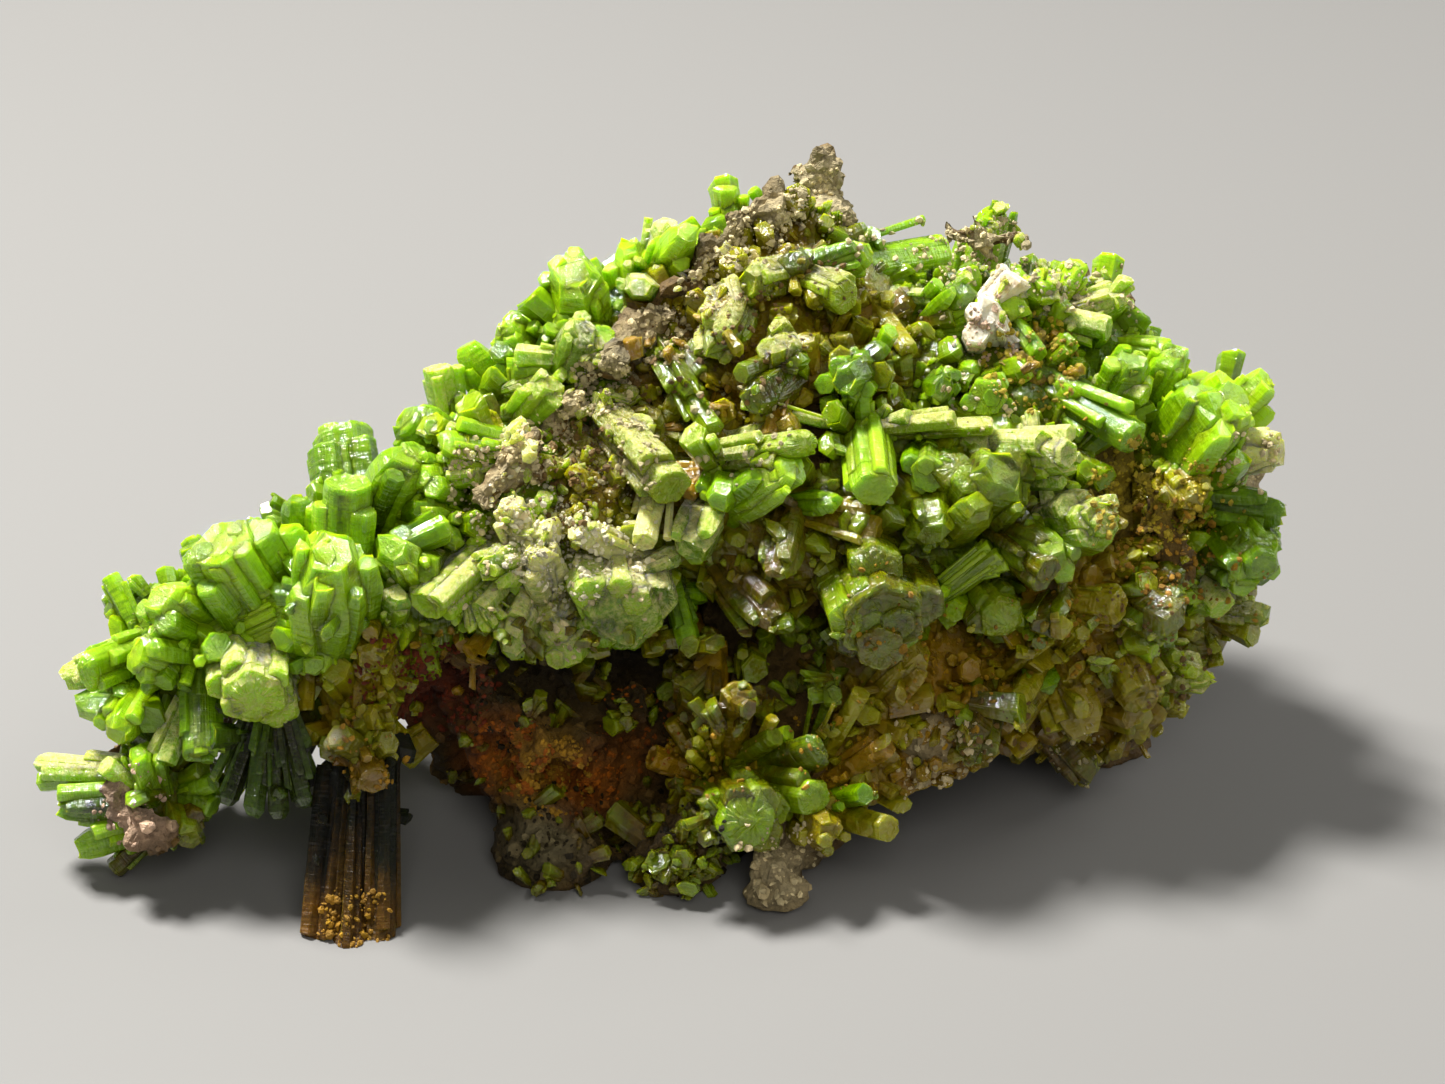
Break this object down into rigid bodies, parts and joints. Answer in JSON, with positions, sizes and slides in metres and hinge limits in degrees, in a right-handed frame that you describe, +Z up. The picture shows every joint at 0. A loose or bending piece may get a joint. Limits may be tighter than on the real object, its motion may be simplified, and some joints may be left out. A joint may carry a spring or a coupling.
{
  "type": "pyromorphite cluster",
  "caption": "Mineral specimen: green pyromorphite crystals grown in crusts and sprays over a ridge of brown limonite rock, with a flat underside to rest on.",
  "frame": {"origin": "middle of the specimen's box in X and Y, on the surface it rests on", "axes": "+X along the specimen to its right end, -Y out of the face with the most crystals, +Z up"},
  "size_m": [0.064, 0.035, 0.0301],
  "materials": {
    "limonite": "matte",
    "green_pyromorphite": "gloss",
    "olive_pyromorphite": "gloss",
    "dark_pyromorphite": "gloss",
    "rusty_pyromorphite": "satin",
    "quartz": "satin"
  },
  "bodies": {
    "root": {"limonite_rock": "limonite", "left_lobe_cluster": "green_pyromorphite", "left_cluster": "green_pyromorphite", "hanging_fan": "dark_pyromorphite", "standing_crystal": "rusty_pyromorphite", "olive_cluster": "olive_pyromorphite", "back_slope_cluster": "green_pyromorphite", "pale_crust_cluster": "green_pyromorphite", "middle_cluster": "green_pyromorphite", "peak_cluster": "green_pyromorphite", "shoulder_cluster": "green_pyromorphite", "quartz_knob": "quartz", "right_end_cluster": "green_pyromorphite", "right_face_cluster": "green_pyromorphite", "rosette_cluster": "green_pyromorphite", "far_left_cluster": "green_pyromorphite", "far_middle_cluster": "green_pyromorphite", "far_top_cluster": "green_pyromorphite", "far_right_cluster": "green_pyromorphite"}
  },
  "joints": []
}
